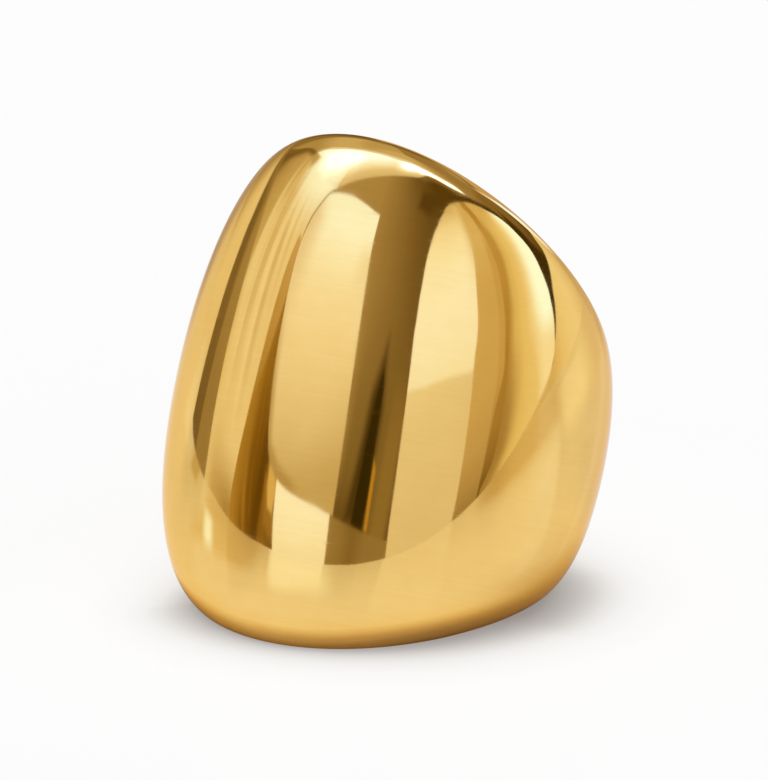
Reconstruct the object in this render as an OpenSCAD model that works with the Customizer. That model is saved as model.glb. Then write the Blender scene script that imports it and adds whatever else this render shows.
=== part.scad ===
// Dome ring: a one-piece finger ring, lying on its side.
// The face swells to a tall dome at the front and tapers to a narrow band
// at the back. The ring is lofted around the finger axis from one cross
// section whose sizes run smoothly from the front over the sides to the
// back, and a true round finger hole is cut through it. It rests on the
// lower rim of the dome and the lower rim of the back band, so it leans
// back a little; the lean and the height are worked out below.
// +Z is up, the dome faces -Y, the floor is Z = 0. Millimetres.

/* [Finger hole] */
// Radius of the finger hole
bore_r = 8.65; // [7.5:0.05:10.5]
// Depth of the rounding from each rim into the hole
rim_round = 0.9; // [0.6:0.05:1.2]

/* [Wall thickness] */
// Thickness of the dome from the finger hole to its fullest point
front_wall = 4.65; // [3.5:0.05:7]
// Thickness at the two sides
side_wall = 4.05; // [2.5:0.05:5]
// Thickness of the band at the back
back_wall = 1.4; // [1.4:0.05:3]
// Thickness left at the rims, at the front
front_rim = 1.75; // [1.2:0.05:2.4]
// Thickness left at the rims, at the sides
side_rim = 1.5; // [1.2:0.05:2]
// Thickness left at the rims, at the back
back_rim = 1.2; // [0.9:0.05:1.3]

/* [Width along the finger] */
// Width of the dome from the widest line to the upper rim
front_up = 16.8; // [12:0.1:20]
// Width of the dome from the widest line to the lower rim
front_down = 12.1; // [10:0.1:16]
// Width at the sides to the upper rim
side_up = 9.1; // [7:0.1:11]
// Width at the sides to the lower rim
side_down = 8.9; // [7:0.1:10]
// Width of the back band to the upper rim
back_up = 3.8; // [3:0.1:6]
// Width of the back band to the lower rim
back_down = 5.8; // [3.5:0.1:6.5]
// How much lower the widest line lies at the dome than at the sides
front_drop = 1.2; // [0:0.1:2]

/* [Curve of the face] */
// Share of the upper width over which the face stays full: front, side, back
up_full = [0.65, 0.63, 0.61]; // [0.45:0.01:0.9]
// Share of the wall that is kept out as the face meets the upper rim
up_shoulder = [0.31, 0.42, 0.55]; // [0.1:0.01:0.8]
// Share of the lower width over which the face stays full: front, side, back
down_full = [0.93, 0.90, 0.57]; // [0.45:0.01:0.95]
// Share of the wall that is kept out as the face meets the lower rim
down_shoulder = [0.00, 0.00, 0.42]; // [0:0.01:0.8]

/* [Fineness] */
// Cross sections around the ring
sections = 96; // [48:8:120]
// Points along each half of the outer face
face_steps = 13; // [8:1:16]
// Points on each rounded rim edge
rim_steps = 3; // [2:1:4]

/* [Hidden] */
gold = [0.86, 0.66, 0.36];
into_bore = 0.3;             // the loft runs this far inside the finger hole

// A size that runs from front over side to back, even on the left and right
function around(f, s, b, t) =
    (f + b) / 4 + s / 2 + (f - b) / 2 * cos(t)
    + ((f + b) / 4 - s / 2) * cos(2 * t);
function around3(v, t) = around(v[0], v[1], v[2], t);

// A point at share u of a four-point curve
function curve(a, b, c, d, u) =
    pow(1 - u, 3) * a + 3 * pow(1 - u, 2) * u * b
    + 3 * (1 - u) * u * u * c + pow(u, 3) * d;

// Half a cross section as [distance from axis, height], from the widest
// line out over the face to the rim and around it into the finger hole
function half_section(out, rim, h, full, shoulder) = concat(
    [for (i = [0 : face_steps]) let (u = i / face_steps)
        [curve(out, out, rim + shoulder * (out - rim), rim, u),
         curve(0, full * h, h, h, u)]],
    [for (i = [1 : rim_steps]) let (s = 67.5 * i / rim_steps)
        [bore_r + (rim - bore_r) * (1 - sin(s)),
         h - rim_round * (1 - cos(s))]],
    [[bore_r - into_bore, h - rim_round - into_bore]]);

// The closed cross section at the turn t from the front
function section(t) = let (
        out = bore_r + around(front_wall, side_wall, back_wall, t),
        rim = bore_r + around(front_rim, side_rim, back_rim, t),
        up = half_section(out, rim, around(front_up, side_up, back_up, t),
            around3(up_full, t), around3(up_shoulder, t)),
        low = half_section(out, rim,
            around(front_down, side_down, back_down, t),
            around3(down_full, t), around3(down_shoulder, t)),
        n = len(up), mid = around(-front_drop, 0, 0, t))
    concat([for (i = [n - 1 : -1 : 1]) [low[i][0], mid - low[i][1]]],
        [for (p = up) [p[0], mid + p[1]]]);

turns = [for (i = [0 : sections - 1]) 360 * i / sections];
rows = len(section(0));
points = [for (t = turns) for (p = section(t))
    [p[0] * sin(t), -p[0] * cos(t), p[1]]];

// Two triangles for each cell of the loft, mirrored left and right
function at(i, j) = (i % sections) * rows + j % rows;
faces = [for (i = [0 : sections - 1]) for (j = [0 : rows - 1])
    for (f = i < sections / 2
        ? [[at(i, j), at(i + 1, j + 1), at(i + 1, j)],
           [at(i, j), at(i, j + 1), at(i + 1, j + 1)]]
        : [[at(i, j), at(i, j + 1), at(i + 1, j)],
           [at(i + 1, j), at(i, j + 1), at(i + 1, j + 1)]]) f];

// The lean at which the lower rims of the dome and of the back band both
// touch the floor: the lowest point of each is found and levelled in turn
function height(p, a) = p[2] * cos(a) - p[1] * sin(a);
function depth(p, a) = p[1] * cos(a) + p[2] * sin(a);
front_points = [for (p = points) if (p[1] < 2 && p[2] < 0) p];
back_points = [for (p = points) if (p[1] >= 2 && p[2] < 0) p];
function lowest(list, a) = let (
        z = [for (p = list) height(p, a)], k = search(min(z), z)[0])
    list[k];
function lean(a, tries) = tries == 0 ? a : let (
        f = lowest(front_points, a), b = lowest(back_points, a))
    lean(a + atan2(height(b, a) - height(f, a), depth(b, a) - depth(f, a)),
        tries - 1);
lean_back = lean(15, 8);
floor_z = min([for (p = points) height(p, lean_back)]);
depths = [for (p = points) depth(p, lean_back)];
middle_y = (min(depths) + max(depths)) / 2;

echo(lean_back = lean_back, floor_z = floor_z, middle_y = middle_y,
    triangles = len(faces));

// The ring, with its true round finger hole
module ring() {
    color(gold)
    translate([0, -middle_y, -floor_z])
    rotate([-lean_back, 0, 0])
    difference() {
        polyhedron(points = points, faces = faces, convexity = 6);
        cylinder(r = bore_r, h = 3 * (front_up + front_down),
            center = true, $fn = 180);
    }
}

ring();
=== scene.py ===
"""Looks of the dome ring: one polished gold ring lying on its side on a pale
floor, in soft studio light. All lengths are metres, in the row's frame."""

import math

import bpy
import numpy as np
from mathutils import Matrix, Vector


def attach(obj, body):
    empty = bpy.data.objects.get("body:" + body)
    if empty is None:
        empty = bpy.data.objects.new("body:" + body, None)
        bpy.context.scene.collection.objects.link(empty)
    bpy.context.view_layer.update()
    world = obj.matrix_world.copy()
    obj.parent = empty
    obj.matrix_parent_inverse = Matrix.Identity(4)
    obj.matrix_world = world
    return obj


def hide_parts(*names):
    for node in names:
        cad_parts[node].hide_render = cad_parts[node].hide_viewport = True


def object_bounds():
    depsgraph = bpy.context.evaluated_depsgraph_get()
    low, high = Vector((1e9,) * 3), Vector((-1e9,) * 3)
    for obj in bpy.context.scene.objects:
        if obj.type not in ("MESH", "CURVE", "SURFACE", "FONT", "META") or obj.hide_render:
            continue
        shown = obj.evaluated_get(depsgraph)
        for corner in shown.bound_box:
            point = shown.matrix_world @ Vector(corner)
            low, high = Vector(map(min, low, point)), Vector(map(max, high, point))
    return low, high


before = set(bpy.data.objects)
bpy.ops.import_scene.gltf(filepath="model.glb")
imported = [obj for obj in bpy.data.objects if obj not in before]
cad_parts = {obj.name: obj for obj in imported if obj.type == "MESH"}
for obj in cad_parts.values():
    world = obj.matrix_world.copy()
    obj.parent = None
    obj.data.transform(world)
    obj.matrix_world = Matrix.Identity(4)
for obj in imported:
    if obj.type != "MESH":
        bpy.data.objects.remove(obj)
CAD_BOX = [[float(c) for c in corner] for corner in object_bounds()]

MM = 0.001

# ---------------------------------------------------------------- the ring
# The same named sizes as the CAD source, in millimetres: each size runs
# smoothly from the front (dome) over the sides to the back (narrow band).
BORE_R = 8.65
RIM_ROUND = 0.9
#                     front  side  back
WALL = np.array([4.65, 4.05, 1.40])            # thickness at the widest line
RIM = np.array([1.75, 1.50, 1.20])             # thickness left at the rims
UP = np.array([16.8, 9.1, 3.8])                # widest line to upper rim
DOWN = np.array([12.1, 8.9, 5.8])              # widest line to lower rim
DROP = np.array([-1.2, 0.0, 0.0])              # height of the widest line
UP_FULL = np.array([0.65, 0.63, 0.61])
UP_SHOULDER = np.array([0.31, 0.42, 0.55])
DOWN_FULL = np.array([0.93, 0.90, 0.57])
DOWN_SHOULDER = np.array([0.00, 0.00, 0.42])

AROUND = 320        # sections around the ring
FACE = 44           # cells on each half of the outer face
EDGE = 12           # cells on each rounded rim
BORE = 16           # cells along the finger hole


def around(size, t):
    f, s, b = size
    return (
        (f + b) / 4 + s / 2 + (f - b) / 2 * np.cos(t)
        + ((f + b) / 4 - s / 2) * np.cos(2 * t)
    )


def curve(a, b, c, d, u):
    return (
        (1 - u) ** 3 * a + 3 * (1 - u) ** 2 * u * b
        + 3 * (1 - u) * u * u * c + u ** 3 * d
    )


def half_section(out, rim, h, full, shoulder):
    """From the widest line over the face to the rim, then round into the hole."""
    u = np.linspace(0, 1, FACE + 1)
    r = curve(out, out, rim + shoulder * (out - rim), rim, u)
    a = curve(0.0, full * h, h, h, u)
    s = np.linspace(0, math.pi / 2, EDGE + 1)[1:]
    r = np.concatenate([r, BORE_R + (rim - BORE_R) * (1 - np.sin(s))])
    a = np.concatenate([a, h - RIM_ROUND * (1 - np.cos(s))])
    return r, a


def ring_points():
    """Points of the ring around its own finger axis, sections x rows x 3, in mm."""
    rows = []
    for t in np.arange(AROUND) * 2 * math.pi / AROUND:
        out = BORE_R + around(WALL, t)
        rim = BORE_R + around(RIM, t)
        r1, a1 = half_section(out, rim, around(UP, t), around(UP_FULL, t), around(UP_SHOULDER, t))
        r0, a0 = half_section(out, rim, around(DOWN, t), around(DOWN_FULL, t), around(DOWN_SHOULDER, t))
        mid = around(DROP, t)
        r = np.concatenate([r0[::-1], r1[1:]])
        a = np.concatenate([mid - a0[::-1], mid + a1[1:]])
        w = np.linspace(0, 1, BORE + 1)[1:-1]      # the straight wall of the hole
        r = np.concatenate([r, np.full(len(w), BORE_R)])
        a = np.concatenate([a, a[-1] + (a[0] - a[-1]) * w])
        rows.append(np.stack([r * math.sin(t), -r * math.cos(t), a], 1))
    return np.array(rows)


def lean_of(points):
    """The lean at which the lower rims of the dome and of the back both touch the floor."""
    p = points.reshape(-1, 3)
    front = p[(p[:, 1] < 2) & (p[:, 2] < 0)]
    back = p[(p[:, 1] >= 2) & (p[:, 2] < 0)]
    lean = math.radians(15)
    for _ in range(12):
        c, s = math.cos(lean), math.sin(lean)
        f = front[np.argmin(front[:, 2] * c - front[:, 1] * s)]
        b = back[np.argmin(back[:, 2] * c - back[:, 1] * s)]
        dz = (b[2] * c - b[1] * s) - (f[2] * c - f[1] * s)
        dy = (b[1] * c + b[2] * s) - (f[1] * c + f[2] * s)
        lean += math.atan2(dz, dy)
    return lean


def build_ring():
    pts = ring_points()
    lean = lean_of(pts)
    c, s = math.cos(lean), math.sin(lean)
    world = np.stack([
        pts[..., 0],
        pts[..., 1] * c + pts[..., 2] * s,
        pts[..., 2] * c - pts[..., 1] * s,
    ], -1)
    lo, hi = world.reshape(-1, 3).min(0), world.reshape(-1, 3).max(0)
    world -= (lo + hi) / 2
    # the finer mesh bulges a few micrometres past the CAD's facets: fit it
    # into the CAD's box
    cad_lo, cad_hi = np.array(CAD_BOX) / MM
    world *= ((cad_hi - cad_lo) / (hi - lo)).min() * 0.9999
    world += (cad_lo + cad_hi) / 2
    n, m = world.shape[:2]
    i, j = np.meshgrid(np.arange(n), np.arange(m), indexing="ij")
    i1, j1 = (i + 1) % n, (j + 1) % m
    quads = np.stack([i * m + j, i1 * m + j, i1 * m + j1, i * m + j1], -1).reshape(-1, 4)
    mesh = bpy.data.meshes.new("dome_ring")
    mesh.from_pydata((world.reshape(-1, 3) * MM).tolist(), [], quads.tolist())
    mesh.update()
    mesh.shade_smooth()
    obj = bpy.data.objects.new("dome_ring", mesh)
    bpy.context.scene.collection.objects.link(obj)
    return obj, lean


ring, LEAN = build_ring()


# ------------------------------------------------------------ node helpers
class V:
    """A number worked out by nodes, so that sums can be written as sums."""

    tree = None

    def __init__(self, socket):
        self.s = socket

    @staticmethod
    def math(op, *args):
        n = V.tree.nodes.new("ShaderNodeMath")
        n.operation = op
        for k, a in enumerate(args):
            if isinstance(a, V):
                V.tree.links.new(a.s, n.inputs[k])
            else:
                n.inputs[k].default_value = a
        return V(n.outputs[0])

    def __add__(self, o): return V.math("ADD", self, o)
    def __radd__(self, o): return V.math("ADD", o, self)
    def __sub__(self, o): return V.math("SUBTRACT", self, o)
    def __rsub__(self, o): return V.math("SUBTRACT", o, self)
    def __mul__(self, o): return V.math("MULTIPLY", self, o)
    def __rmul__(self, o): return V.math("MULTIPLY", o, self)
    def min(self, o): return V.math("MINIMUM", self, o)
    def max(self, o): return V.math("MAXIMUM", self, o)
    def abs(self): return V.math("ABSOLUTE", self)


def new(kind, **settings):
    n = V.tree.nodes.new(kind)
    for k, v in settings.items():
        setattr(n, k, v)
    return n


def link(a, b):
    V.tree.links.new(a.s if isinstance(a, V) else a, b)


def ramp(x, lo, hi):
    """0 below lo, 1 above hi, smooth between."""
    n = new("ShaderNodeMapRange", interpolation_type="SMOOTHSTEP")
    link(x, n.inputs["Value"])
    for key, v in (("From Min", lo), ("From Max", hi), ("To Min", 0.0), ("To Max", 1.0)):
        n.inputs[key].default_value = v
    return V(n.outputs["Result"])


def fall(x, lo, hi):
    """1 below lo, 0 above hi, smooth between."""
    n = new("ShaderNodeMapRange", interpolation_type="SMOOTHSTEP")
    link(x, n.inputs["Value"])
    for key, v in (("From Min", lo), ("From Max", hi), ("To Min", 1.0), ("To Max", 0.0)):
        n.inputs[key].default_value = v
    return V(n.outputs["Result"])


# ------------------------------------------------------------- the material
def gold_material():
    """Mirror-polished gold: fine buffing lines that run round the band, a few
    curved handling scratches, and a polish that is not quite even."""
    mat = bpy.data.materials.new("polished_gold")
    mat.use_nodes = True
    V.tree = mat.node_tree
    bsdf = V.tree.nodes["Principled BSDF"]
    bsdf.inputs["Metallic"].default_value = 1.0
    bsdf.inputs["Specular Tint"].default_value = (1.0, 0.85, 0.60, 1)   # stays gold at the edges

    coord = new("ShaderNodeTexCoord")
    upright = new("ShaderNodeVectorRotate", rotation_type="X_AXIS")
    upright.inputs["Angle"].default_value = LEAN      # the finger axis back to Z
    link(coord.outputs["Object"], upright.inputs["Vector"])

    def noise(scale, stretch=(1, 1, 1), turn=(0, 0, 0), shift=(0, 0, 0), detail=0.0, rough=0.5):
        """Noise of about scale features per millimetre."""
        place = new("ShaderNodeMapping")
        link(upright.outputs[0], place.inputs["Vector"])
        place.inputs["Location"].default_value = shift
        place.inputs["Rotation"].default_value = turn
        place.inputs["Scale"].default_value = [s * scale / MM for s in stretch]
        n = new("ShaderNodeTexNoise")
        n.inputs["Scale"].default_value = 1.0
        n.inputs["Detail"].default_value = detail
        n.inputs["Roughness"].default_value = rough
        link(place.outputs[0], n.inputs["Vector"])
        return V(n.outputs[0])

    def hairline(scale, turn, shift, width):
        """Long, nearly straight thin lines, broken up by a second noise."""
        line = fall((noise(scale, (0.1, 0.1, 1), turn, shift) - 0.5).abs(), width * 0.3, width)
        return line * ramp(noise(0.30, shift=shift, detail=1.0), 0.52, 0.66)

    # buffing lines round the band, in bundles
    buff = noise(0.10, (1, 1, 55), detail=3.0, rough=0.65)
    bundle = ramp(noise(0.16, (1, 1, 2.5), shift=(3, 1, 7)), 0.42, 0.66)
    # handling scratches in four directions
    scratch = hairline(0.42, (0.5, 0.2, 0.1), (11, 5, 2), 0.009)
    scratch = scratch.max(hairline(0.36, (-0.7, 0.9, 0.3), (4, 9, 31), 0.008))
    scratch = scratch.max(hairline(0.46, (0.2, -1.1, 0.8), (17, 3, 8), 0.009))
    scratch = scratch.max(hairline(0.40, (1.2, 0.1, -0.5), (6, 23, 13), 0.008))
    cloud = noise(0.55, detail=3.0, rough=0.6)        # breath-like unevenness

    rough = 0.030 + 0.025 * ramp(cloud, 0.35, 0.75) + 0.03 * (bundle * buff) + 0.04 * scratch
    link(rough, bsdf.inputs["Roughness"])

    tint = new("ShaderNodeMix", data_type="RGBA")
    link(ramp(cloud * 0.5 + buff * 0.5, 0.32, 0.68), tint.inputs[0])
    tint.inputs[6].default_value = (0.846, 0.551, 0.166, 1)
    tint.inputs[7].default_value = (0.874, 0.579, 0.184, 1)
    link(tint.outputs[2], bsdf.inputs["Base Color"])

    height = 0.11 * (buff * bundle) + 0.38 * cloud - 0.04 * scratch
    bump = new("ShaderNodeBump")
    bump.inputs["Strength"].default_value = 1.0
    bump.inputs["Distance"].default_value = 0.0000012
    link(height, bump.inputs["Height"])
    link(bump.outputs[0], bsdf.inputs["Normal"])
    return mat


gold = gold_material()
ring.data.materials.append(gold)
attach(ring, "root")
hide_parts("ring")

# ------------------------------------------------- camera, as in the photo
CAM_AZ, CAM_EL, CAM_DIST = 31.69, 17.89, 0.35
PX_PER_MM, AIM_X, AIM_Y = 17.534, 380.57, 368.17
AIM = Vector((0, 0, 13 * MM))


def direction(az, el):
    a, e = math.radians(az), math.radians(el)
    return Vector((math.sin(a) * math.cos(e), -math.cos(a) * math.cos(e), math.sin(e)))


cam_data = bpy.data.cameras.new("camera")
cam_data.sensor_fit = "AUTO"
cam_data.sensor_width = 36.0
cam_data.lens = PX_PER_MM * CAM_DIST * 1000 / 780 * 36.0
cam_data.shift_x = -(AIM_X - 384) / 780
cam_data.shift_y = (AIM_Y - 390) / 780
cam_data.clip_start = 0.01
cam_data.clip_end = 50
camera = bpy.data.objects.new("camera", cam_data)
bpy.context.scene.collection.objects.link(camera)
camera.location = AIM + direction(CAM_AZ, CAM_EL) * CAM_DIST
camera.rotation_euler = (AIM - camera.location).to_track_quat("-Z", "Y").to_euler()
bpy.context.scene.camera = camera

# ---------------------------------------------------------------- the studio
view = bpy.context.scene.view_settings
view.view_transform = "Standard"
view.look = "None"
view.exposure = 0.0
view.gamma = 1.0

# A plain white room lights the floor. The polished metal mirrors two
# softboxes with an unlit gap between them, an overhead lamp and the walls.
# They stand still in the room. Bearings are in degrees from the photo's
# camera direction, plus to its right; heights are degrees above the floor.
world = bpy.data.worlds.new("studio")
bpy.context.scene.world = world
world.use_nodes = True
world.cycles.sampling_method = "NONE"     # the mirror look and the room light differ
V.tree = world.node_tree
V.tree.nodes.clear()

coord = new("ShaderNodeTexCoord")
turn = new("ShaderNodeVectorRotate", rotation_type="Z_AXIS")
turn.inputs["Angle"].default_value = -math.radians(CAM_AZ)
link(coord.outputs["Generated"], turn.inputs["Vector"])
split = new("ShaderNodeSeparateXYZ")
link(turn.outputs[0], split.inputs[0])
X, Y, Z = (V(split.outputs[k]) for k in range(3))
DEG = 180 / math.pi
AZ = V.math("ARCTAN2", X, Y * -1.0) * DEG
EL = V.math("ARCSINE", Z) * DEG


def outline(points, soft):
    """1 inside a convex outline of (bearing, height) points, soft degrees
    wide at its edge."""
    inside = None
    cx = sum(p[0] for p in points) / len(points)
    cy = sum(p[1] for p in points) / len(points)
    for (x0, y0), (x1, y1) in zip(points, points[1:] + points[:1]):
        nx, ny = y1 - y0, x0 - x1
        size = math.hypot(nx, ny)
        nx, ny = nx / size, ny / size
        c = -(nx * x0 + ny * y0)
        if nx * cx + ny * cy + c < 0:
            nx, ny, c = -nx, -ny, -c
        d = V.math("MULTIPLY_ADD", EL, ny, V.math("MULTIPLY_ADD", AZ, nx, c))
        inside = d if inside is None else inside.min(d)
    return ramp(inside, -soft / 2, soft / 2)


def arc(points, x=None):
    """A smooth curve through (x, value) points, read off at x, a bearing
    unless it is given."""
    x = AZ if x is None else x
    x0, x1 = float(points[0][0]), float(points[-1][0])
    ys = [p[1] for p in points]
    y0, y1 = min(ys) - 1.0, max(ys) + 1.0
    n = new("ShaderNodeFloatCurve")
    link((x - x0) * (1 / (x1 - x0)), n.inputs["Value"])
    line = n.mapping.curves[0].points
    spots = [((px - x0) / (x1 - x0), (py - y0) / (y1 - y0)) for px, py in points]
    while len(line) < len(spots):
        line.new(0.5, 0.5)
    for spot, (px, py) in zip(line, spots):
        spot.location = (px, py)
        spot.handle_type = "AUTO_CLAMPED"
    n.mapping.extend = "HORIZONTAL"
    n.mapping.update()
    return V(n.outputs[0]) * (y1 - y0) + y0


def shade(x, stops):
    """A gradient panel: (value of x, red, green, blue) stops, straight between."""
    lo, hi = stops[0][0], stops[-1][0]
    n = new("ShaderNodeValToRGB")
    link((x - lo) * (1 / (hi - lo)), n.inputs[0])
    marks = n.color_ramp.elements
    for k, (at, *color) in enumerate([stops[0], stops[-1]] + stops[1:-1]):
        mark = marks[k] if k < 2 else marks.new((at - lo) / (hi - lo))
        mark.color = (*[c / 8 for c in color], 1)
    bright = new("ShaderNodeVectorMath", operation="SCALE")
    link(n.outputs[0], bright.inputs[0])
    bright.inputs["Scale"].default_value = 8.0
    return bright.outputs[0]


studio = (0.68, 0.62, 0.51, 1)                     # straight up: the ceiling


def over(mask, *color):
    """Lays a panel of one colour, or of a gradient, over what is there."""
    global studio
    n = new("ShaderNodeMix", data_type="RGBA")
    link(mask, n.inputs[0])
    if isinstance(studio, tuple):
        n.inputs[6].default_value = studio
    else:
        link(studio, n.inputs[6])
    if len(color) == 3:
        n.inputs[7].default_value = (*color, 1)
    else:
        link(color[0], n.inputs[7])
    studio = n.outputs[2]


# the borders between the panels: heights over bearings, or bearings over heights
roof = EL - arc([(-160, 4), (-149, 12.8), (-140, 20), (-130.4, 28.6), (-125, 32.2), (-120, 34.2), (-112, 37), (-104, 38.6), (-95, 39.4), (-86, 40.6), (-80, 41.5), (-75.9, 43.2), (-70.1, 46.8), (-63.5, 50.4), (-55.9, 53.9), (-47, 57.2), (-36.7, 60.3), (-24.5, 62.9), (-10.2, 64.8), (5.9, 66), (21.8, 67.6), (30, 66.8), (40, 64.3), (50, 60.3), (60, 56.3), (70, 51.8)])
lamp = EL - arc([(-124, 30), (-117, 36.5), (-114, 41), (-109.5, 45.6), (-104.1, 50.6), (-98.6, 55), (-93.6, 58.8), (-86, 63), (-78.5, 66.6), (-68, 70.2), (-58.7, 72.3), (-46, 74.2), (-33.3, 75.4), (-2.6, 76.6), (23.1, 74), (40.1, 69.6), (51.4, 64.8), (61.2, 59.8), (68, 55)])
lens = EL - arc([(23.5, 50.9), (29.9, 52.4), (36.1, 53), (42.4, 53.1), (48.1, 52.7), (55.3, 51.9), (62.2, 50.5), (68.1, 48.5), (73.4, 46.4), (78.1, 44.2), (82.7, 42.0), (86.7, 39.7), (89.8, 37.4), (92.3, 35.0), (94.2, 32.7), (95.6, 30.5), (97.5, 28)])
lens_end = AZ - arc([(2, 83), (3, 84.1), (4.5, 87.2), (7, 89.4), (8.4, 90.8), (10.4, 92.2), (12.2, 93.2), (13.8, 94.5), (16.4, 95.6), (19.2, 96.8), (21.8, 98.2), (24.2, 98.6), (26.5, 98), (28.8, 96.9), (31.1, 96)], EL)
wedge = EL - arc([(60, -0.6), (64.6, -0.2), (68.3, 0.2), (71.7, 0.6), (75.4, 1.2), (79.5, 1.9), (82.8, 2.7), (85.8, 3.8), (87.7, 5.2), (90.6, 6.9), (93.7, 8.9), (96.2, 10.6), (99.2, 12.6), (105.3, 14.4), (112.4, 15.7), (119.8, 16.8), (125, 19), (136, 19), (152, 5), (170, -10)])
box_left = AZ - arc([(12.8, -65.7), (14.1, -68.7), (16.6, -72.4), (19.3, -75.8), (22.4, -78.8), (25.1, -81.4), (27.6, -83.2), (29.7, -84.0), (32.2, -83.9), (35, -82.7), (37.6, -81.2), (40.3, -79.2), (42.2, -77)], EL)
box_top = EL - arc([(-81.2, 38.8), (-78.7, 40), (-76, 41.3), (-73.1, 42.4), (-69.1, 43.7), (-64.8, 44.8), (-60.2, 45.7), (-55.3, 46.3), (-50.3, 46.7), (-45.2, 46.9), (-36, 46.9)])
box_right = AZ - arc([(9.2, -27.7), (14.8, -28.3), (19.8, -29.3), (23.3, -30.4), (27, -31.6), (35.8, -34.4), (38.9, -35.3), (41.7, -35.6), (46, -35.5)], EL)
box_foot = EL - arc([(-65.2, 12.7), (-60.4, 11.9), (-54.8, 11.5), (-43.1, 11), (-37.4, 10.6), (-31.8, 9.7), (-27.6, 9)])
strip_left = AZ - arc([(-3, -56.8), (-0.3, -56.9), (1.8, -57.4), (5.8, -58.5), (9, -59.4), (11.8, -60.3)], EL)
strip_right = AZ - arc([(-3, -27.9), (1.5, -28.2), (6.2, -28.7), (9.2, -29.2)], EL)
drape_left = AZ - arc([(0, -84.6), (4.1, -85.6), (9, -85.3), (15, -84.8), (18.8, -85.4), (22.2, -86.3), (26.6, -87), (28.6, -86.9), (30.5, -85.8)], EL)
rbox_left = AZ - arc([(-4.4, 2.3), (4, 1.3), (12.5, 0.65), (21.8, -0.25), (28.9, -0.45), (31, 0.1), (34.2, 1.0), (36.6, 2.3), (39, 3.6), (41.9, 6.3), (43.6, 8.5), (45.3, 11), (47.2, 14.8), (49, 18.6), (50.9, 24.4)], EL)
front_right = AZ - arc([(-2.6, 32.4), (3.8, 33), (9.9, 33.4), (14.5, 33.9), (19.6, 34.7), (22.1, 36.1), (25, 37.1), (30, 37.8), (35.8, 39.4), (40, 40.1), (47, 39.5)], EL)
band_left = AZ - arc([(-1, 43.4), (3, 44.6), (6, 45.8), (8.3, 47), (10.6, 49.2), (13.5, 52.2), (17, 53.3), (21.2, 54.7), (25.7, 55.6), (30.8, 56.4), (36.1, 55.4), (39.2, 54.6), (42.4, 52.7), (45.7, 51.1), (48.3, 49.1), (50.6, 46.4)], EL)
band_right = AZ - arc([(-0.8, 44.6), (0.7, 47.2), (2.1, 49.4), (4.1, 50.8), (8.6, 52.9), (12.8, 54.3), (16.3, 55.5), (20.3, 57.6), (24.7, 59.2), (29.7, 60.9), (32.4, 61.2), (34.9, 60.9), (37.8, 60), (41, 58.5), (44.4, 57.4), (47.7, 56.1), (50.7, 53.4)], EL)
inner_band = AZ - arc([(-1.1, 43.3), (3.8, 44.4), (8.3, 45.7), (13.2, 48), (17, 49.1), (23.2, 50.8), (31, 51.6)], EL)

# the ceiling: darker to the right, at the far left and behind the ring
over(ramp(EL, 58, 68) * fall(AZ, -105, -80), 0.58, 0.51, 0.38)
over(ramp(AZ, 30, 85), 0.37, 0.29, 0.17)
over(ramp(AZ, 101, 108) * fall(AZ, 118, 150) * ramp(EL, 44, 50) * fall(EL, 56, 66), 0.48, 0.41, 0.30)
over(ramp(AZ, 70, 92) * fall(EL, 47, 54), 0.27, 0.20, 0.085)
over(fall(AZ, -122, -108) * fall(EL, 32, 48), 0.50, 0.42, 0.27)
over(fall(AZ - arc([(5, -158), (12, -151), (20, -144.5), (30, -143), (40, -145), (50, -147), (60, -152), (70, -162)], EL), -3, 4) * fall(EL, 60, 78), 0.31, 0.25, 0.15)
over(fall(AZ, -168, -150) * fall(EL, 40, 62), 0.17, 0.12, 0.055)
over(ramp(AZ, 148, 166) * fall(EL, 38, 46), 0.60, 0.50, 0.40)
over(ramp(AZ, 138, 150) * ramp(EL, 41, 47) * fall(EL, 56, 72), 0.17, 0.12, 0.05)
# the overhead lamp, a pale border round it and the glow below it
lit_lamp = ramp(AZ, -121, -113) * fall(AZ, 60, 69)
over(fall(lamp, 2.6, 4.2) * lit_lamp, 0.92, 0.97, 1.2)
rise = ramp(AZ, -38, -10) * 1.6 + ramp(AZ, 5, 22) * 6.0 + 1.0
glow = shade(roof * rise + fall(AZ, -86, -76) * 9.0 + fall(AZ, -76, -66) * 1.5, [(0, 0.80, 0.76, 0.68), (4, 0.90, 0.92, 1.0), (7, 1.10, 1.25, 1.7), (10, 1.14, 1.50, 2.6), (14, 1.17, 1.72, 3.5), (20, 1.3, 1.9, 4.2)])
over(ramp(roof, -0.8, 0.8) * fall(lamp, -0.7, 0.7) * lit_lamp, glow)
over(ramp(roof * rise, 9, 15) * fall(lamp, -0.7, 0.7) * ramp(AZ, -32, -8) * fall(AZ, 60, 69), 2.5, 3.2, 7.0)
# the room below the roof line
room = fall(roof, -0.8, 0.8)
over(room * fall(AZ, 66, 72), shade(AZ, [(-60, 0.48, 0.39, 0.24), (-38, 0.46, 0.37, 0.22), (-26, 0.37, 0.29, 0.16), (-14, 0.29, 0.22, 0.11), (-4, 0.22, 0.16, 0.07), (8, 0.16, 0.115, 0.04), (24, 0.12, 0.075, 0.015)]))
over(ramp(AZ, 25, 60) * fall(lens, 2, 5.5), 0.08, 0.05, 0.012)
over(room * ramp(AZ, -31, -25) * fall(AZ, -4, 0) * fall(EL, 14, 36), 0.25, 0.19, 0.08)
over(room * ramp(AZ, -31, -27) * fall(AZ, -14, -8) * fall(EL, 8, 18), 0.18, 0.125, 0.045)
over(room * ramp(AZ, -9, -6) * fall(AZ, -2, 1) * fall(EL, 17, 28), 0.31, 0.235, 0.10)
over(outline([(-2, 52.5), (8, 50), (24, 54), (24, 58), (5, 58)], 4) * room, 0.115, 0.075, 0.02)
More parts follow.
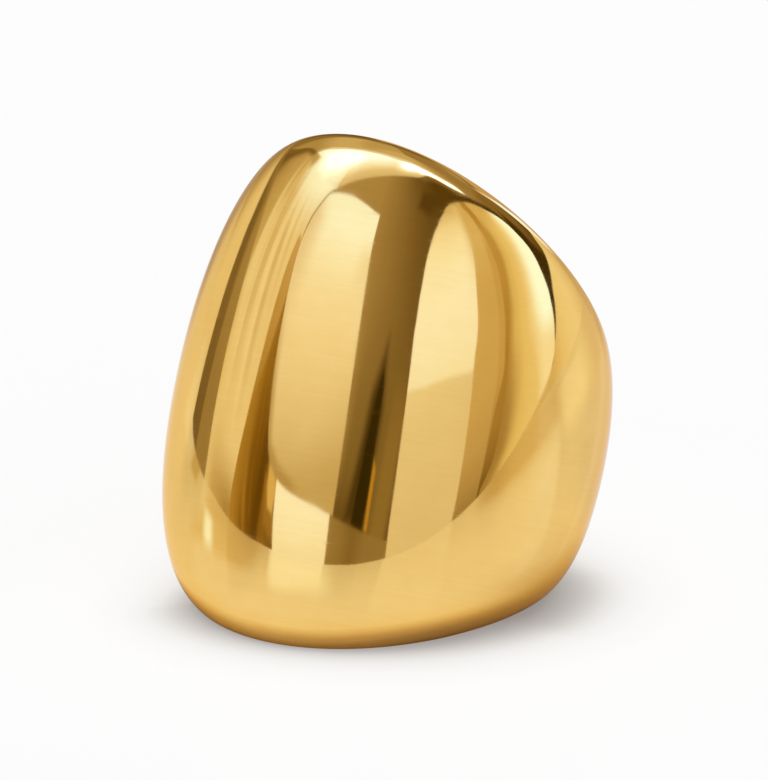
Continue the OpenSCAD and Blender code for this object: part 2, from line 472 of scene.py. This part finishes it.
over(ramp(roof, -5, -0.8) * room * ramp(AZ, 2, 14) * fall(AZ, 52, 66), 0.25, 0.19, 0.085)
# the wall left of the ring, bright below the lamp, brown towards the far left
wall = fall(box_left, -0.3, 0.3) * fall(roof, -0.8, 0.8) * fall(AZ, -75, -70)
over(wall, shade(AZ, [(-145, 0.17, 0.12, 0.05), (-137, 0.24, 0.18, 0.09), (-132, 0.42, 0.34, 0.21), (-127, 0.55, 0.46, 0.30), (-120, 0.63, 0.55, 0.38), (-116, 0.66, 0.58, 0.41), (-109, 0.90, 0.86, 0.77), (-104, 0.96, 0.95, 0.92)]))
over(wall * ramp(EL - (AZ + 99).abs() * 0.4, 22, 36) * ramp(AZ, -116, -105), 1.15, 1.50, 2.5)
over(wall * fall(EL, 0.5, 9) * ramp(AZ, -110, -98), shade(AZ, [(-108, 0.74, 0.66, 0.48), (-97, 0.66, 0.56, 0.36), (-89, 0.50, 0.39, 0.19)]))
# soft streaks where the light grazes that wall
streak = new("ShaderNodeTexNoise", noise_dimensions="2D")
streak.inputs["Scale"].default_value = 1.0
streak.inputs["Detail"].default_value = 2.0
grain = new("ShaderNodeCombineXYZ")
link((AZ + EL * 0.45) * 0.21, grain.inputs[0])
link(EL * 0.03, grain.inputs[1])
link(grain.outputs[0], streak.inputs["Vector"])
streaks = V(streak.outputs[0])
over(wall * fall(AZ, -96, -86) * ramp(EL, 6, 14) * ramp(streaks, 0.47, 0.70) * 0.5, 0.64, 0.55, 0.38)
over(wall * fall(AZ, -96, -86) * ramp(EL, 6, 14) * ramp(AZ, -122, -112) * fall(streaks, 0.34, 0.5) * 0.6, 1.06, 1.12, 1.25)
over(outline([(-118, 33), (-109, 33), (-107.5, 36.5), (-112, 38)], 3.0) * room, 0.62, 0.52, 0.35)
over(ramp(roof, -7.5, -2.0) * fall(roof, -0.6, 1.2) * fall(AZ, -134, -120), 0.20, 0.15, 0.07)
over(ramp(roof, -3.6, -0.8) * fall(roof, -0.4, 1.6) * fall(AZ, -121, -113), 0.24, 0.18, 0.09)
# the white heart of the lamp's glow, soft all round
over(outline([(-111, 37), (-103, 33), (-90, 35), (-80, 42), (-66, 52), (-62, 62), (-70, 66), (-84, 62), (-98, 57), (-108, 48)], 11) * fall(lamp, -0.7, 0.7) * fall(box_left, -1.6, 0.3) * ramp(AZ, -112, -107), 1.15, 1.55, 2.7)
over(outline([(-108, 41), (-102, 38.5), (-93, 40), (-84, 46), (-77, 54), (-74, 60), (-78, 63), (-88, 60), (-97, 55.5), (-105, 47.5)], 7) * fall(lamp, -0.7, 0.7), 1.9, 2.6, 5.4)
over(fall((box_left - 0.2).abs(), 0.5, 1.4) * ramp(EL, 27, 32) * fall(EL, 39.5, 42.5), 0.26, 0.19, 0.08)
# a dark curved recess at the far left, and pale paper left of it
recess = EL - arc([(-150, 13.6), (-138, 14.6), (-127, 15.4), (-120, 14.9), (-115, 13), (-112, 11.2), (-109.5, 8), (-107.4, 4.5), (-106, 1), (-105.6, -4)])
recess_dark = EL - arc([(-150, 13.5), (-135, 14.5), (-128, 14.8), (-123.7, 13), (-121, 10.6), (-119, 8.4), (-117.6, 5.2), (-117, 0), (-116.6, -5)])
paper_left = EL - arc([(-175, 9), (-160, 11), (-151.6, 11.8), (-138, 12), (-133.9, 11.4), (-130.9, 10.5), (-129.3, 9.1), (-127.6, 7.8), (-126.6, 6.2), (-125.3, 3.7), (-124.7, 0.5), (-124.4, -6)])
over(fall(recess, -0.9, 0.9) * fall(AZ, -106.4, -105.4), shade(EL, [(-4, 0.37, 0.29, 0.16), (4, 0.38, 0.30, 0.17), (12, 0.43, 0.35, 0.20)]))
over(fall(recess_dark, -3.4, 2.2) * fall(AZ, -118.5, -113), shade(EL, [(-4, 0.21, 0.155, 0.08), (6, 0.25, 0.19, 0.10), (14, 0.22, 0.165, 0.08)]))
over(fall(paper_left, -1.5, 0.7) * fall(AZ, -125.3, -124.3), shade(AZ, [(-165, 0.33, 0.29, 0.28), (-155, 0.45, 0.39, 0.32), (-148, 0.62, 0.57, 0.48), (-142, 0.84, 0.81, 0.76), (-136, 0.93, 0.91, 0.88), (-126, 0.92, 0.89, 0.82)]))
# the unlit gap between the softboxes, with a table and a dark stand in it
table = EL - arc([(-29.2, 9.2), (-26.2, 8.6), (-18, 6.6), (-15.3, 5.9), (-11.5, 4.6), (-9.4, 4), (-4.7, 2.6), (0.6, 0.8), (3, 0)])
over(fall(table, -0.4, 0.4) * ramp(AZ, -33, -31) * fall(AZ, 3, 5), shade(AZ, [(-29, 0.40, 0.31, 0.17), (-22, 0.34, 0.26, 0.13), (-16, 0.27, 0.20, 0.08), (-9, 0.34, 0.26, 0.13), (3, 0.35, 0.27, 0.14)]))
over(outline([(-22, 8), (-11.8, 5.6), (-11.6, 22), (-14.6, 29), (-19, 24)], 4) * ramp(table, -0.4, 0.4), 0.09, 0.06, 0.02)
over(outline([(-18, 6.9), (-17.8, 11.5), (-17.5, 19), (-16.6, 23), (-14.6, 26.5), (-12.8, 24), (-11.7, 19.2), (-11.9, 12), (-11.2, 4.9)], 0.9), 0.04, 0.03, 0.004)
over(outline([(-11.9, 17), (-10.2, 15.5), (-9.4, 4.4), (-11.0, 5.0)], 0.8), 0.56, 0.35, 0.06)
# the dark amber drape
drape = ramp(drape_left, -0.4, 0.4) * fall(AZ, -57, -55) * fall(EL, 27.6, 29.6) * (1 - ramp(box_left, -0.3, 0.3) * ramp(EL, 12.2, 12.8))
over(drape, shade(AZ, [(-86, 0.49, 0.33, 0.09), (-82, 0.43, 0.28, 0.065), (-78, 0.36, 0.22, 0.04), (-74, 0.26, 0.15, 0.02), (-70, 0.15, 0.085, 0.01), (-67.6, 0.15, 0.085, 0.01), (-66, 0.28, 0.17, 0.03), (-60, 0.33, 0.21, 0.05)]))
drape_fold = AZ - arc([(12, -85.5), (14.3, -83.5), (15.7, -82.7), (17.3, -81.8), (19, -81), (22.3, -80.6), (26, -80.5)], EL)
over(drape * fall(drape_fold, -0.9, 0.9) * ramp(EL, 11, 15), shade(EL, [(14, 0.50, 0.34, 0.10), (22, 0.61, 0.47, 0.24), (28, 0.69, 0.56, 0.37)]))
over(drape * ramp(streaks, 0.47, 0.66) * ramp(AZ, -82, -76) * 0.5, 0.17, 0.095, 0.01)
over(drape * fall(streaks, 0.36, 0.5) * fall(AZ, -76, -71) * 0.35, 0.52, 0.35, 0.10)
over(outline([(-67, 11), (-59, 11), (-57, 3.0), (-60, 2.0), (-64, 4.5)], 2.6) * fall(AZ, -57, -55) * 0.8, 0.42, 0.28, 0.08)
over(outline([(-66.5, 14), (-64.4, 13.2), (-60.4, 12.4), (-59.8, 9.6), (-60.0, 6.6), (-62.9, 7.2), (-64.9, 10.0)], 1.4), 0.80, 0.65, 0.35)
# left softbox and the lit strip below it
box = ramp(box_left, -0.3, 0.3) * fall(box_top, -0.35, 0.35) * fall(box_right, -0.35, 0.35) * ramp(box_foot, -0.3, 0.3)
over(box, shade(EL - (AZ + 60) * 0.16, [(9.5, 0.66, 0.59, 0.45), (12.5, 0.71, 0.65, 0.53), (16, 0.82, 0.79, 0.74), (20, 0.95, 0.95, 1.01), (25, 1.04, 1.10, 1.29), (30, 1.10, 1.22, 1.57), (35, 1.14, 1.39, 2.12), (39, 1.15, 1.52, 2.6)]))
over(box * ramp(AZ, -46, -37) * ramp(EL, 27, 36) * fall(EL, 37, 42), 1.07, 1.18, 1.54)
over(box * fall(box_left, 0.4, 4.5) * fall(EL, 15, 27) * 0.9, 0.57, 0.49, 0.33)
over(box * fall(AZ, -84, -69) * ramp(EL, 18, 28) * fall(EL, 34, 41), 0.95, 0.99, 1.2)
over(box * fall(box_foot, 0.8, 2.6) * fall(AZ, -54, -46), 0.55, 0.46, 0.29)
over(ramp(strip_left, -0.35, 0.35) * fall(strip_right, -0.35, 0.35) * fall(box_foot, -0.3, 0.3), shade(EL, [(0, 1.09, 1.22, 1.6), (4, 1.13, 1.31, 1.84), (10, 1.15, 1.39, 2.15)]))
# right softbox: its lit front in two steps, its shaded side and an amber edge
rbox = ramp(rbox_left, -0.4, 0.4) * fall(lens, -0.4, 0.4) * fall(band_right, -0.3, 0.5)
over(rbox, shade(EL, [(-2, 0.41, 0.32, 0.17), (2, 0.53, 0.42, 0.25), (7, 0.63, 0.52, 0.32), (13, 0.71, 0.60, 0.38), (30, 0.74, 0.62, 0.40), (40, 0.81, 0.72, 0.52), (47, 0.77, 0.68, 0.47)]))
over(rbox * ramp(inner_band, -0.5, 0.5) * fall(EL, 34, 44), shade(EL, [(-1, 0.36, 0.27, 0.12), (6, 0.53, 0.41, 0.21), (14, 0.66, 0.54, 0.31), (34, 0.69, 0.56, 0.33)]))
over(rbox * ramp(band_left, -0.4, 0.4), shade(EL, [(0, 0.24, 0.16, 0.05), (3, 0.34, 0.24, 0.09), (7, 0.45, 0.31, 0.13), (18, 0.51, 0.35, 0.11), (27, 0.60, 0.44, 0.18), (40, 0.61, 0.45, 0.19), (49, 0.51, 0.36, 0.13)]))
upper = ramp(EL, 26, 44)
front = rbox * (1 - (ramp(front_right, -0.5, 0.5) * (1 - upper) + ramp(front_right, -8, 3) * upper))
step = ramp(EL - arc([(-0.5, 22.7), (6.1, 22.2), (16.4, 21.2), (35.1, 18.2)]), -0.5, 0.5)
over(front, shade(EL, [(-3, 0.87, 0.85, 0.83), (10, 0.89, 0.88, 0.89), (18, 0.92, 0.93, 0.98), (21.5, 0.97, 1.01, 1.11)]))
over(front * step, shade(EL, [(20, 1.10, 1.28, 1.8), (31, 1.15, 1.39, 2.19), (37, 1.14, 1.36, 2.0), (42, 1.11, 1.25, 1.6), (46, 1.03, 1.09, 1.25), (51, 0.80, 0.73, 0.56)]))
# the wall right of the ring, brightest far right
right = ramp(band_right, -0.3, 0.5) * fall(lens, -0.4, 0.4) * fall(lens_end, -0.5, 0.5)
over(right, shade(band_right * (ramp(EL, 0, 18) * 0.4 + 0.6), [(0, 0.52, 0.40, 0.18), (2, 0.64, 0.52, 0.28), (4.5, 0.82, 0.72, 0.45), (10, 0.92, 0.86, 0.62), (14, 0.95, 0.91, 0.72), (19, 1.05, 1.11, 1.22), (24, 1.14, 1.5, 2.4), (28, 1.15, 1.70, 3.2)]))
over(right * ramp(EL, 37, 47) * fall(AZ, 72, 84), 0.79, 0.68, 0.45)
over(right * fall(EL, 2, 18) * fall(band_right, 1, 12), 0.44, 0.33, 0.15)
over(right * fall(EL, 6, 13) * ramp(AZ, 72, 80), 1.09, 1.20, 1.45)
# beyond the right wall: a dark corner, pale paper and a rim light
corner = fall(lens, -2, 90) * ramp(lens_end, -0.5, 0.5) * fall(EL, 34, 42)
over(corner * fall(AZ - arc([(16, 125), (20.4, 124.7), (24.7, 122.8), (29.6, 120.5), (33.1, 119.6), (38.1, 117.5)], EL), -1, 1), shade(EL, [(16, 0.14, 0.10, 0.03), (23, 0.18, 0.13, 0.045), (30, 0.26, 0.19, 0.08), (38, 0.27, 0.20, 0.085)]))
over(corner * fall(AZ - arc([(10, 118), (16, 117), (20.8, 112), (23.7, 109.5), (28, 108.3), (32.7, 105.1), (37.4, 102)], EL), -5, 2), 0.06, 0.04, 0.01)
over(ramp(AZ, 58, 64) * fall(wedge, -0.5, 0.5), shade(AZ, [(66, 0.78, 0.69, 0.50), (84, 0.78, 0.69, 0.48), (88, 0.86, 0.77, 0.56), (93, 0.94, 0.89, 0.72), (101, 0.99, 0.98, 0.90), (115, 1.00, 1.02, 1.04), (126, 0.92, 0.90, 0.91), (134, 0.83, 0.80, 0.79), (141, 0.68, 0.62, 0.57), (150, 0.62, 0.57, 0.54)]))
rim = EL - arc([(100, 54), (110.5, 45.9), (116.6, 40.9), (121.3, 36.2), (127, 31.0), (132, 26.5), (137.5, 20.5), (143.1, 15.3), (149, 10), (158, 2)])
rim_foot = EL - arc([(100, 51.5), (110.5, 43.4), (116.6, 38.2), (121.3, 32.6), (126, 25.5), (131, 18.5), (137, 11.5), (143, 7), (150, 3.5), (158, -1)])
over(ramp(rim, 0, 3) * ramp(AZ, 112, 122) * fall(EL, 42, 50), 0.66, 0.56, 0.46)
over(ramp(rim_foot, -1.8, 1.8) * fall(rim, 0.8, 3.2) * ramp(AZ, 101, 112) * fall(AZ, 150, 160), shade(AZ, [(104, 0.55, 0.47, 0.34), (115, 0.95, 0.95, 1.0), (122, 1.2, 1.7, 3.8), (131, 1.2, 1.65, 3.8), (138, 1.13, 1.5, 3.0), (144, 1.05, 1.22, 2.0), (152, 0.90, 0.95, 1.2)]))

mirrored = new("ShaderNodeBackground")
link(studio, mirrored.inputs["Color"])
room_light = new("ShaderNodeBackground")
room_light.inputs["Color"].default_value = (1.035, 1.035, 1.035, 1)
backdrop = new("ShaderNodeBackground")
backdrop.inputs["Color"].default_value = (0.982, 0.982, 0.982, 1)
paths = new("ShaderNodeLightPath")
lit = new("ShaderNodeMixShader")
link(paths.outputs["Is Glossy Ray"], lit.inputs[0])
link(room_light.outputs[0], lit.inputs[1])
link(mirrored.outputs[0], lit.inputs[2])
seen = new("ShaderNodeMixShader")
link(paths.outputs["Is Camera Ray"], seen.inputs[0])
link(lit.outputs[0], seen.inputs[1])
link(backdrop.outputs[0], seen.inputs[2])
link(seen.outputs[0], new("ShaderNodeOutputWorld").inputs["Surface"])


def floor():
    """A wide sheet of pale paper. It ends about 8 cm in front of the ring, just
    outside the photo's view, so the horizon dips there in the mirrored room."""
    mesh = bpy.data.meshes.new("floor")
    edge = [(-6000, 360), (-340, 18), (-250, 6), (-224, -8), (-239, -28), (-274, -51), (-358, -102), (-537, -199), (-1154, -543), (-1454, -2307), (-479, -936), (-320, -698), (-137, -384), (-60, -249), (-28, -204), (-6, -155), (11, -128), (24, -104), (32, -87), (41, -80), (49, -73), (58, -69), (68, -67.5), (78, -67), (92, -68), (142, -74), (170, -73), (218, -77), (273, -75), (347, -75), (486, -71), (754, -60), (1002, -13), (1471, 68), (3895, 424)]
    a0 = math.atan2(edge[-1][1], edge[-1][0])
    a1 = math.atan2(edge[0][1], edge[0][0])
    far = [(6000 * math.cos(a), 6000 * math.sin(a)) for a in np.linspace(a0, a1, 64)]
    verts = [(x * MM, y * MM, 0) for x, y in edge + far]
    mesh.from_pydata(verts, [], [tuple(range(len(verts)))])
    mat = bpy.data.materials.new("pale_floor")
    mat.use_nodes = True
    V.tree = mat.node_tree
    V.tree.nodes.clear()
    place = new("ShaderNodeSeparateXYZ")
    link(new("ShaderNodeTexCoord").outputs["Object"], place.inputs[0])
    px, py = V(place.outputs[0]) * 1000.0, V(place.outputs[1]) * 1000.0
    away = V.math("SQRT", px * px + (py + 0.7) * (py + 0.7))     # mm from the ring's foot
    bearing = V.math("ARCTAN2", px, py * -1.0) * DEG - CAM_AZ
    # the painted shadow at the foot is not quite round; bearings -211.7 and 148.3 are the
    # same line behind the ring, so both ends of each profile agree there
    camera_shadow_away = away + arc([(-211.7, 1.6), (-165, 2.5), (-135, 3.7), (-120, 4.0), (-105, 3.6), (-90, 2.6), (-75, 0.95), (-60, -0.1), (-45, 0.2), (-30, 0.7), (-15, 1.15), (0, 1.3), (15, 1.2), (30, 0.95), (45, 0.5), (60, -0.35), (75, -0.45), (90, -0.2), (105, 0.65), (120, 1.3), (148.3, 1.6)], bearing)
    mirrored_shadow_away = away + arc([(-211.7, 0.0), (-160, 0.8), (-105, 0.9), (-60, 0.5), (-20, 0.2), (10, 0.2), (40, 0.35), (60, 0.3), (80, -0.2), (100, -0.2), (125, 0.0), (148.3, 0.0)], bearing)
    behind = fall(bearing, -205, -175)

    # lays painted light and painted shade patches over a colour
    def with_painted_light(base, *marks):
        for mask, *color in marks:
            n = new("ShaderNodeMix", data_type="RGBA")
            link(mask, n.inputs[0])
            link(base, n.inputs[6])
            if len(color) == 3:
                n.inputs[7].default_value = (*color, 1)
            else:
                link(color[0], n.inputs[7])
            base = n.outputs[2]
        return base

    # matt paper with a faint gloss, lit from above by the room, plus a glow of its
    # own though it is no lamp; that glow is painted darker round the foot of the
    # ring as a painted contact shadow. Rays off the metal see a second painted copy:
    # painted warm shade at the foot, painted shade far to the right and behind,
    # and painted highlights where the strip and the lamp would shine on it
    def matt_with_painted_glow(grey, painted_glow):
        matt, glow_shader, both = new("ShaderNodeBsdfDiffuse"), new("ShaderNodeEmission"), new("ShaderNodeAddShader")
        matt.inputs["Color"].default_value = (grey, grey, grey, 1)
        link(painted_glow, glow_shader.inputs["Color"])
        link(matt.outputs[0], both.inputs[0])
        link(glow_shader.outputs[0], both.inputs[1])
        return both.outputs[0]

    # what the metal mirrors: a painted contact shadow round the foot, tinted gold; painted shade patches far to the
    # right, behind and far left; painted reflections of the lit strip and of the lamp as bright streaks on the paper
    mirrored_paper = matt_with_painted_glow(0.35, with_painted_light(
        shade(mirrored_shadow_away, [(11, 0.04, 0.01, 0.0), (11.8, 0.11, 0.045, 0.0), (12.5, 0.30, 0.19, 0.05), (13.2, 0.56, 0.46, 0.29), (14.0, 0.70, 0.67, 0.60), (16, 0.69, 0.70, 0.73), (24, 0.65, 0.66, 0.70), (60, 0.62, 0.62, 0.63)]),
        (ramp(bearing, 18, 72) + behind, shade(away, [(10, 0.07, 0.02, 0.0), (11.5, 0.17, 0.08, 0.01), (12.5, 0.27, 0.18, 0.07), (13.5, 0.38, 0.29, 0.16), (15, 0.49, 0.42, 0.34), (17.5, 0.60, 0.58, 0.60), (22, 0.66, 0.66, 0.70), (60, 0.62, 0.62, 0.63)])),
        (ramp(away, 25, 50) * ramp(bearing, -104, -94) * fall(bearing, -66, -56), 0.52, 0.43, 0.23),
        (ramp(away, 100, 140) * ramp(bearing, -116, -113.5) * fall(bearing, -110, -107), 0.42, 0.31, 0.09),
        (ramp(away, 60, 150) * ramp(bearing, 38, 52) * fall(bearing, 83, 95), 0.40, 0.28, 0.05),
        (ramp(away, 14, 22) * fall(away, 60, 110) * (ramp(bearing, 88, 112) + behind), 0.53, 0.54, 0.72),
        (ramp(away, 50, 100) * (ramp(bearing, 110, 125) + behind), 0.50, 0.47, 0.53),
        (ramp(away, 60, 100) * fall(away, 300, 600) * ramp(bearing, 84, 94) * fall(bearing, 104, 114), 0.72, 0.76, 0.86),
        (ramp(away, 50, 110) * (ramp(bearing, 135, 143) + behind), 0.33, 0.27, 0.22),
        (ramp(away, 40, 110) * fall(bearing, -158, -147) * (1 - behind), 0.20, 0.14, 0.10),
        (ramp(away, 90, 130) * ramp(bearing, -133, -128) * fall(bearing, -119, -115.5), 0.70, 0.76, 0.95),
        (ramp(bearing + 57 - V.math("DIVIDE", 350.0, away), -3, 2) * fall(bearing + 27.4 - V.math("DIVIDE", 185.0, away), -2, 6) * ramp(away, 17, 36), 0.77, 0.90, 1.13),
        (fall((bearing + 100 - V.math("DIVIDE", 550.0, away)).abs(), 0.5, 5.5) * ramp(away, 27, 52) * fall(away, 75, 150), 0.85, 1.25, 2.2),
    ))
    # what the camera sees: the paper's glow painted darker round the foot, a painted contact shadow laid over the real
    # one from the room light
    table = matt_with_painted_glow(0.25, shade(camera_shadow_away, [(9.5, 0.245, 0.232, 0.225), (11, 0.344, 0.332, 0.325), (12, 0.450, 0.438, 0.431), (13, 0.593, 0.586, 0.582), (14, 0.692, 0.690, 0.690), (15.5, 0.740, 0.740, 0.741), (18, 0.758, 0.759, 0.761), (26, 0.737, 0.738, 0.740), (36, 0.726, 0.727, 0.729), (50, 0.727, 0.727, 0.728), (150, 0.730, 0.730, 0.731)]))
    seen_by_camera = V(new("ShaderNodeLightPath").outputs["Is Camera Ray"])
    body = new("ShaderNodeMixShader")
    link(seen_by_camera, body.inputs[0])
    link(mirrored_paper, body.inputs[1])
    link(table, body.inputs[2])
    gloss = new("ShaderNodeBsdfAnisotropic", distribution="GGX")
    gloss.inputs["Color"].default_value = (1, 1, 1, 1)
    gloss.inputs["Roughness"].default_value = 0.15
    grazing = new("ShaderNodeFresnel")
    grazing.inputs["IOR"].default_value = 1.45
    sheet = new("ShaderNodeMixShader")
    link(seen_by_camera * 0.01 + (1 - seen_by_camera) * V(grazing.outputs[0]) * 0.4, sheet.inputs[0])
    link(body.outputs[0], sheet.inputs[1])
    link(gloss.outputs[0], sheet.inputs[2])
    link(sheet.outputs[0], new("ShaderNodeOutputMaterial").inputs["Surface"])
    mesh.materials.append(mat)
    obj = bpy.data.objects.new("floor", mesh)
    bpy.context.scene.collection.objects.link(obj)
    return obj


floor()
